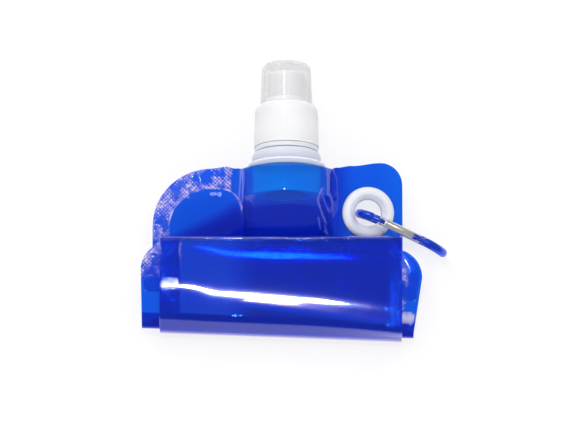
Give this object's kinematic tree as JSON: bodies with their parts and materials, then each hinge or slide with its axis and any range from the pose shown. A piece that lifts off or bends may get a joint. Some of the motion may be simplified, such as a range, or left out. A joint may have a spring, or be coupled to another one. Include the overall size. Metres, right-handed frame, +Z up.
{
  "type": "collapsible water bottle",
  "caption": "Blue film pouch water bottle, rolled up on its own front, with white screw cap, push-pull nozzle, dust cover, eyelet and small carabiner.",
  "frame": {"origin": "on the flat underside of the back film, on the pouch's centre line under the middle of the roll", "axes": "+X across the pouch towards the eyelet, +Y towards the spout, +Z up from the back film to the front"},
  "size_m": [0.1418, 0.1295, 0.036],
  "materials": {
    "blue_film": "clear blue film, glossy",
    "white_plastic": "satin",
    "clear_plastic": "milky and see-through",
    "seal_foam": "matte foam",
    "blue_aluminium": "blue anodised",
    "plated_steel": "plated"
  },
  "bodies": {
    "pouch": {"spout_fitment": "white_plastic", "tamper_band": "white_plastic", "front_film_upper": "blue_film", "back_film_upper": "blue_film", "front_film_crease": "blue_film", "back_film_crease": "blue_film", "grommet_front": "white_plastic", "grommet_back": "white_plastic"},
    "roll": {"front_film_roll": "blue_film", "back_film_roll": "blue_film", "base_gusset": "blue_film"},
    "cap_liner": {"cap_seal": "seal_foam"},
    "cap": {"screw_cap": "white_plastic"},
    "nozzle_slider": {"nozzle": "white_plastic"},
    "cover": {"dust_cover": "clear_plastic"},
    "carabiner": {"carabiner_body": "blue_aluminium", "gate_hinge_pin": "plated_steel"},
    "gate": {"carabiner_gate": "plated_steel", "gate_nose_pin": "plated_steel", "gate_plunger": "plated_steel", "gate_spring": "plated_steel"}
  },
  "joints": [
    {"name": "roll_unfold", "type": "hinge", "parent": "pouch", "child": "roll", "pos_m": [0, -0.0158, 0.009], "axis": [0.9993, -0.0384, 0], "range_deg": [0, 176], "deforming": ["front_film_crease", "back_film_crease"]},
    {"name": "cap_rise", "type": "slide", "parent": "pouch", "child": "cap_liner", "axis": [0, 1, 0], "range_m": [0, 0.0161]},
    {"name": "cap_turn", "type": "hinge", "parent": "cap_liner", "child": "cap", "pos_m": [0.003, 0.063, 0.018], "axis": [0, 1, 0], "range_deg": [0, 1440]},
    {"name": "nozzle_pull", "type": "slide", "parent": "cap", "child": "nozzle_slider", "axis": [0, 1, 0], "range_m": [0, 0.0032]},
    {"name": "dust_cover_pull", "type": "slide", "parent": "cap", "child": "cover", "axis": [0, 1, 0], "range_m": [0, 0.03]},
    {"name": "carabiner_swing", "type": "hinge", "parent": "pouch", "child": "carabiner", "pos_m": [0.03701, 0.03373, 0.009], "axis": [0, 0, 1], "range_deg": [0, 45]},
    {"name": "gate_open", "type": "hinge", "parent": "carabiner", "child": "gate", "pos_m": [0.06364, 0.01989, 0.01788], "axis": [-0.4277, -0.877, -0.2191], "range_deg": [0, 16], "stiffness_Nm_per_rad": 0.02, "springref_deg": -2.86}
  ],
  "couplings": [
    {"joint": "cap_rise", "follows": "cap_turn", "m_per_rad": 0.00063662}
  ]
}
